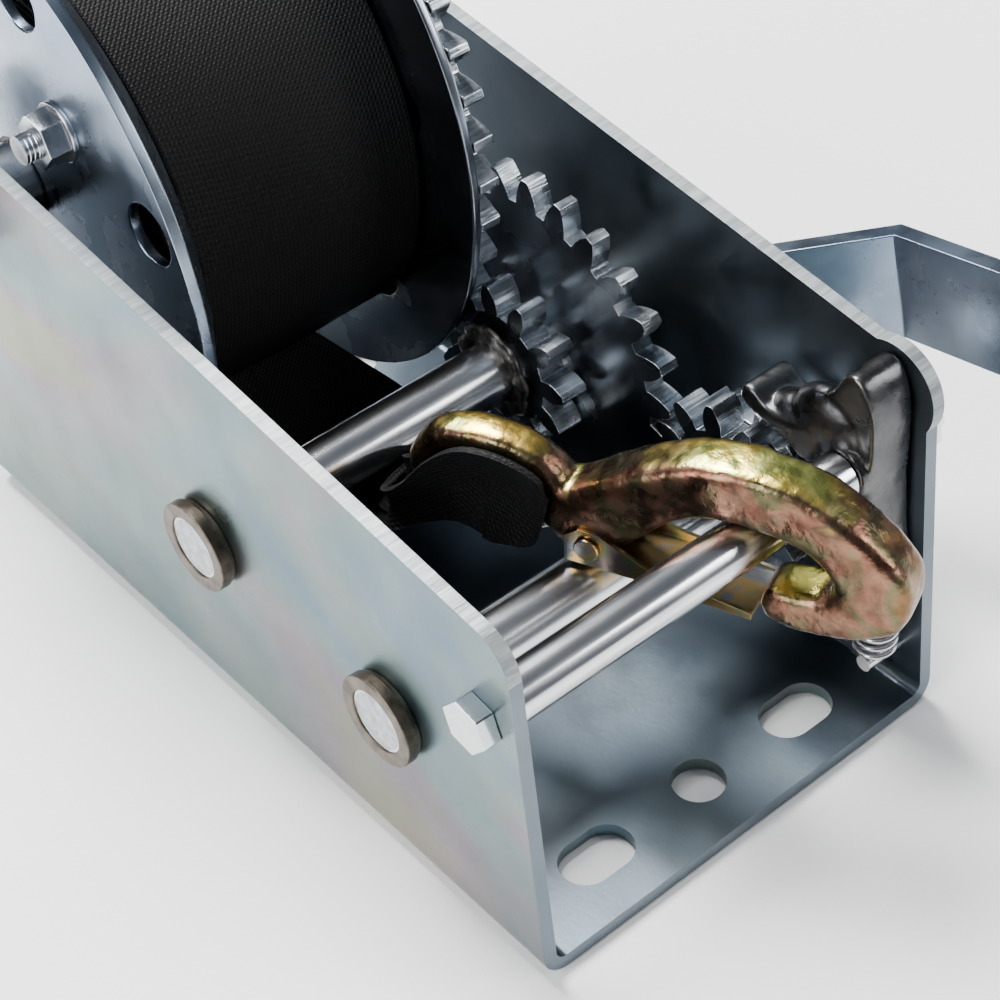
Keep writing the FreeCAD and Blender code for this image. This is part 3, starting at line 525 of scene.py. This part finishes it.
def threaded_end(name, place, start, end, radius, pitch, body, slot):
    """A closed bar between two places along X, with one helical groove."""
    segments = 40
    rings_per_turn = 20
    depth = 0.55 * pitch
    direction = 1 if end > start else -1
    count = int(abs(end - start) / pitch * rings_per_turn)
    work = bmesh.new()
    rings = []
    for index in range(count + 1):
        x = start + direction * pitch * index / rings_per_turn
        ring = []
        for step in range(segments):
            angle = 2 * math.pi * step / segments
            phase = (index / rings_per_turn - step / segments) % 1
            reach = radius - depth * abs(2 * phase - 1)
            ring.append(work.verts.new(round_line(place, x, reach, angle)))
        rings.append(ring)
    for ring, after in zip(rings, rings[1:]):
        for step in range(segments):
            beyond = (step + 1) % segments
            work.faces.new((ring[step], after[step], after[beyond], ring[beyond]))
    cap_ends(work, rings)
    return new_piece(name, finished_mesh(work, name, angle=50), body, slot)


def spline(values, place):
    """The smooth curve through the values, at a place counted in stations."""
    index = min(int(place), len(values) - 2)
    share = place - index
    before = values[max(index - 1, 0)]
    here = values[index]
    after = values[index + 1]
    beyond = values[min(index + 2, len(values) - 1)]
    return 0.5 * ((2 * here) + (after - before) * share
                  + (2 * before - 5 * here + 4 * after - beyond) * share ** 2
                  + (3 * here - before - 3 * after + beyond) * share ** 3)


def strip(name, stations, thick, slot, body, replaced=(), columns=20, rows=10):
    """A ribbon of webbing, thick and its stations in millimetres.
    A station is (centre, half width, sideways, bow): sideways is a direction, and bow lifts its middle."""
    glance = 0.02
    end_length = 0.001
    centres = [Vector(item[0]) * MM for item in stations]
    halves = [item[1] * MM for item in stations]
    sides = [Vector(item[2]).normalized() for item in stations]
    bows = [item[3] * MM for item in stations]
    steps = (len(stations) - 1) * rows
    grid = []
    run = [0.0]
    last = None
    for step in range(steps + 1):
        place = step / rows
        centre = spline(centres, place)
        ahead = spline(centres, min(place + glance, len(stations) - 1))
        behind = spline(centres, max(place - glance, 0))
        forward = (ahead - behind).normalized()
        side = spline(sides, place)
        side = (side - forward * side.dot(forward)).normalized()
        up = side.cross(forward)
        half = spline(halves, place)
        bow = spline(bows, place)
        if last is not None:
            run.append(run[-1] + (centre - last).length)
        last = centre
        row = []
        for column in range(columns + 1):
            across = 2 * column / columns - 1
            lift = up * bow * math.cos(across * math.pi * 0.5)
            row.append((centre + side * half * across + lift, up, across * half))
        grid.append(row)
    work = bmesh.new()
    layer = work.loops.layers.uv.new("lengths")
    sheets = []
    for face_sign in (1, -1):
        sheet = []
        for row in grid:
            sheet.append([work.verts.new(spot + up * thick * MM / 2 * face_sign) for spot, up, _ in row])
        sheets.append(sheet)
    top, under = sheets

    def quad(corners, lengths):
        face = work.faces.new(corners)
        face.smooth = True
        for loop, length in zip(face.loops, lengths):
            loop[layer].uv = length

    for step in range(steps):
        near = run[step]
        far = run[step + 1]
        for column in range(columns):
            left = grid[step][column][2]
            right = grid[step][column + 1][2]
            for sheet in (top, under):
                quad((sheet[step][column], sheet[step][column + 1],
                      sheet[step + 1][column + 1], sheet[step + 1][column]),
                     [(left, near), (right, near), (right, far), (left, far)])
        for column in (0, columns):
            quad((top[step][column], top[step + 1][column], under[step + 1][column], under[step][column]),
                 [(0, near), (0, far), (thick * MM, far), (thick * MM, near)])
    for step in (0, steps):
        for column in range(columns):
            quad((top[step][column], top[step][column + 1], under[step][column + 1], under[step][column]),
                 [(0, 0), (end_length, 0), (end_length, thick * MM), (0, thick * MM)])
    return new_piece(name, finished_mesh(work, name, angle=60), body, slot, replaced)


# ---------------------------------------------------------------- metal parts
# The low dome on a bar's left end: how far in from the end face each ring stands, and its radius.
BAR_END = ((0.0006, 0.00655), (0.0002, 0.00655), (-0.0001, 0.0061), (-0.0002, 0.004), (-0.00016, 0.0001))


def channel():
    """The bent plate, its inner faces in a darker blue as painted shade and its sheared edges finished apart.
    """
    piece = eased("frame_channel", "channel_body", 0.45 * MM, angle=40)
    mesh = piece.data
    # The second look paints shade on the channel's inner faces.
    mesh.materials.append(looks["zinc_inside"])
    mesh.materials.append(looks["cut_edge"])
    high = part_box("frame_channel")[1]
    outer = high[0] - 0.0002
    wall = outer - 0.0024
    inner = high[0] - 0.0034
    floor_top = 0.0029
    wall_foot = 0.006
    edge_foot = 0.0058
    for face in mesh.polygons:
        x = abs(face.center.x)
        z = face.center.z
        sideways = abs(face.normal.x)
        over_floor = x <= inner and z >= floor_top
        on_wall = x < wall and z > wall_foot and sideways > 0.9
        # Faces over the floor and on the inner walls take the painted shade.
        if over_floor or on_wall:
            face.material_index = 1
        elif x < outer and z > edge_foot and sideways < 0.6:
            face.material_index = 2


def frame_and_hardware():
    """The channel, fasteners, bushes, flanges and handle arm with their edges eased, and two threads."""
    channel()
    for node in ("tie_bolt", "tie_nut", "anchor_nut", "drum_bolt", "drum_nut", "handle_nut"):
        eased(node, node + "_piece", 0.45 * MM)
    # Each thread starts inside its nut and stops just inside the bolt's end.
    pitch = 0.001
    buried = 0.0004
    anchor_radius = 0.00312
    anchor_tip = left_of("anchor_bolt") + 0.0003
    threaded_end("anchor_thread", mid("anchor_nut"), left_of("anchor_nut") + buried, anchor_tip,
                 anchor_radius, pitch, "drum", "bright_zinc")
    tie_radius = 0.00322
    tie_tip = right_of("tie_bolt") - 0.0004
    threaded_end("tie_thread", TIE, right_of("tie_nut") - buried, tie_tip,
                 tie_radius, pitch, "frame", "bright_zinc")
    for node in ("anchor_washer", "tie_washer", "handle_washer", "grip_washer"):
        eased(node, node + "_piece", 0.25 * MM)
    for node in ("drive_bush_left", "drive_bush_right", "intermediate_bush_left", "intermediate_bush_right"):
        eased(node, node + "_piece", 0.4 * MM, segments=3)
    eased("tie_tube", "tie_tube_piece", 0.4 * MM)
    eased("drum_flange_left", "drum_flange_left_piece", 0.7 * MM, segments=3, angle=20)
    right = eased("drum_flange_right", "drum_flange_right_piece", 0.7 * MM, segments=3, angle=20)
    # The whole right flange takes the dark gear-face look as painted shade.
    right.data.materials.append(looks["gear_face"])
    for face in right.data.polygons:
        face.material_index = 1
    eased("handle_arm", "handle_arm_piece", 0.6 * MM, segments=3)


def gears():
    """The toothed wheels, their flat sides finished apart from their teeth."""
    flat = 0.98
    for node in ("drum_gear", "small_pinion", "big_gear", "drive_pinion", "ratchet_wheel"):
        piece = eased(node, node + "_piece", 0.3 * MM, angle=30)
        piece.data.materials.append(looks["gear_face"])
        for face in piece.data.polygons:
            if abs(face.normal.x) > flat:
                face.material_index = 1


def bar_ends():
    """Speckled caps over the two bars' left ends."""
    for name, place, body in (("drive", DRIVE, "drive"), ("intermediate", INTER, "intermediate")):
        end = left_of(name + "_shaft")
        profile = [(end + inset, radius) for inset, radius in BAR_END]
        lathe(name + "_bar_end", place, profile, body, "bright_zinc", segments=48, closed=False,
              material="shaft_end")


def weld_bead():
    """A lumpy ring of weld beside the small pinion."""
    segments = 90
    around = 14
    lobes = 9
    middle_radius = 0.0078
    bead_radius = 0.0032
    start = left_of("pinion_weld")
    end = right_of("pinion_weld")
    wide = (end - start) * 0.55
    middle = end - 0.0021
    work = bmesh.new()
    rings = []
    for step in range(segments):
        angle = 2 * math.pi * step / segments
        unevenness = noise.noise(Vector((math.cos(angle), math.sin(angle), 3)) * 4)
        lump = 1 + 0.14 * math.sin(angle * lobes) + 0.10 * unevenness
        ring = []
        for turn in range(around):
            slope = 2 * math.pi * turn / around
            x = middle - wide * 0.5 * math.cos(slope) * lump
            radius = middle_radius + bead_radius * lump * max(-0.6, math.sin(slope + 0.5))
            ring.append(work.verts.new(round_line(INTER, x, radius, angle)))
        rings.append(ring)
    for index, ring in enumerate(rings):
        after = rings[(index + 1) % segments]
        for turn in range(around):
            beyond = (turn + 1) % around
            work.faces.new((ring[turn], ring[beyond], after[beyond], after[turn])).smooth = True
    new_piece("weld_bead", finished_mesh(work, "weld_bead"), "intermediate", "weld_metal", ["pinion_weld"])


def castings():
    """The forged hook, the cast pawl with its two fuller places, and the latch with its rivet."""
    forged("snap_hook", "snap_hook_forging", voxel=0.6 * MM, passes=90, rough=0.22 * MM, grow=0.5 * MM)
    forged("pawl", "pawl_casting", voxel=0.42 * MM, passes=22, rough=0.08 * MM, seed=5.0, grow=0.12 * MM,
           swells=[((40.2, 5.5, 70.5), (4.4, 9.5, 7.5)), ((40.6, 12.5, 66.0), (5.0, 9.0, 5.0))])
    for piece in (eased("hook_latch", "hook_latch_sheet", 0.22 * MM),
                  eased("latch_rivet", "latch_rivet_piece", 0.3 * MM)):
        piece.data.materials.clear()
        piece.data.materials.append(looks["latch_zinc"])


# ---------------------------------------------------------------- strap
def wound_strap():
    """The roll of webbing: turns a little proud or shy of each other at both sides."""
    random.seed(11)
    low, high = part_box("strap_wound")
    outer = (high[1] - low[1]) / 2
    inner = 0.0142
    layer = 0.00152
    most_shy = 0.0009
    groove = 0.0004
    margin = 0.0012
    waver = 0.0002
    columns = 24
    # Across one turn's edge: how far through the layer, and how deep the groove is there.
    edge = ((0, groove), (0.3, 0), (0.7, 0), (0.98, groove))
    count = int((outer - inner) / layer)
    left = []
    right = []
    for turn in range(count):
        base = inner + turn * layer
        shy = random.uniform(0.0, most_shy)
        other = random.uniform(0.0, most_shy)
        for share, depth in edge:
            left.append((low[0] + shy + depth, base + layer * share))
            right.append((high[0] - other - depth, base + layer * share))
    across = []
    top = inner + count * layer
    for step in range(columns + 1):
        share = step / columns
        x = low[0] + margin + (high[0] - low[0] - 2 * margin) * share
        across.append((x, min(outer, top + waver - waver * math.cos(share * 2 * math.pi))))
    profile = left + across + list(reversed(right))
    lathe("strap_roll", DRUM, profile, "drum", "webbing", ["strap_wound"], segments=160, uv=True)


def strap_tail():
    """The strap's loose end: a flat run, gathered and turned on edge into the hook's eye, and a side fold."""
    across = (1, 0, 0)
    thick = 1.6
    main = strip("strap_tail_run", [
        ((-13.0, 140, 30.9), 23.3, across, 0.0), ((-13.0, 128, 32.3), 23.3, across, 0.1),
        ((-13.0, 116, 33.7), 23.3, across, 0.1), ((-13.0, 104, 35.0), 23.3, across, 0.2),
        ((-13.2, 95, 35.6), 22.8, across, 0.3), ((-13.2, 87, 35.2), 19.4, across, 0.5),
        ((-13.4, 80.5, 36.4), 12.0, (1, 0, 0.1), 1.2), ((-15.6, 74, 40.6), 7.6, (0.8, 0.1, 0.6), 1.8),
        ((-22.0, 66, 46.6), 4.6, (0.2, 0.1, 1), 1.4), ((-20.6, 59, 52.2), 4.6, (0, -0.1, 1), 1.8),
        ((-18.0, 51.6, 58.6), 7.2, (0.1, -0.2, 1), 2.6), ((-15.6, 45.2, 61.2), 10.4, (0.1, -0.25, 1), 3.6),
        ((-13.2, 39.6, 60.4), 11.0, (0.1, -0.22, 1), 3.2), ((-10.8, 35.2, 58.6), 8.8, (0.1, -0.2, 1), 2.0),
        ((-9.6, 33.0, 58.0), 5.4, (0.1, -0.2, 1), 0.8),
    ], thick, "webbing", "frame", ["strap_tail"])
    inner = strip("strap_tail_fold", [
        ((-8.0, 86, 37.1), 9.0, across, 0.2), ((-9.6, 79, 39.4), 7.2, (1, 0, 0.2), 0.9),
        ((-15.0, 71, 45.4), 6.0, (0.6, 0.1, 0.8), 1.6), ((-15.8, 63, 52.4), 5.2, (0.1, 0, 1), 1.6),
        ((-13.6, 55, 58.0), 5.8, (0, -0.1, 1), 1.8), ((-10.6, 48.6, 58.6), 5.0, (0.1, -0.2, 1), 1.0),
        ((-6.6, 46.0, 58.4), 4.6, (0.1, -0.2, 1), 0.4), ((-1.6, 44.8, 58.0), 4.6, (0.1, -0.2, 1), 0.2),
    ], thick, "webbing", "frame")


frame_and_hardware()
gears()
bar_ends()
weld_bead()
castings()
wound_strap()
strap_tail()


# ---------------------------------------------------------------- stage, light and camera
def plain_floor():
    """A wide white floor, a hair under the lowest point of the model."""
    width = 60
    gap = 0.0006
    low = cad_box[0]
    bpy.ops.mesh.primitive_plane_add(size=width, location=(0, 0, min(0.0, low[2]) - gap))
    floor = bpy.context.object
    floor.name = "floor"
    material = bpy.data.materials.new("floor_white")
    material.use_nodes = True
    shader = material.node_tree.nodes["Principled BSDF"]
    shader.inputs["Base Color"].default_value = (0.97, 0.97, 0.97, 1)
    shader.inputs["Roughness"].default_value = 0.9
    floor.data.materials.append(material)


def soft_light(name, place, target, size, power):
    """A rectangular lamp that faces the target; size is its two sides in metres."""
    data = bpy.data.lights.new(name, "AREA")
    data.energy = power
    data.shape = "RECTANGLE"
    data.size = size[0]
    data.size_y = size[1]
    light = bpy.data.objects.new(name, data)
    light.location = place
    light.rotation_euler = (Vector(target) - Vector(place)).to_track_quat("-Z", "Y").to_euler()
    bpy.context.scene.collection.objects.link(light)


def lights():
    target = (0, 0.06, 0.04)
    soft_light("key", (-1.2, 0.1, 0.8), target, (0.8, 1.1), power=27)
    soft_light("top", (0.1, 0.8, 1.3), target, (0.6, 0.8), power=66)
    soft_light("front", (1.1, -1.1, 0.9), target, (0.6, 0.8), power=14)
    world = bpy.data.worlds.new("studio")
    world.use_nodes = True
    background = world.node_tree.nodes["Background"]
    background.inputs["Color"].default_value = (0.80, 0.88, 1.0, 1)
    background.inputs["Strength"].default_value = 0.18
    bpy.context.scene.world = world


def camera():
    """The viewing angle: in front of the open end, to its left and well above."""
    right = Vector((0.74736, -0.66369, -0.03106))
    down = Vector((-0.48237, -0.50984, -0.71231))
    forward = Vector((0.45692, 0.54734, -0.70118))
    place = (-0.21825, -0.22639, 0.37914)
    data = bpy.data.cameras.new("camera")
    data.lens = 88.135
    data.sensor_width = 36
    data.shift_x = -0.0754
    data.shift_y = 0.0431
    data.clip_start = 0.01
    holder = bpy.data.objects.new("camera", data)
    turn = Matrix((right, -down, -forward)).transposed()
    holder.matrix_world = Matrix.Translation(place) @ turn.to_4x4()
    bpy.context.scene.collection.objects.link(holder)
    bpy.context.scene.camera = holder


plain_floor()
lights()
camera()
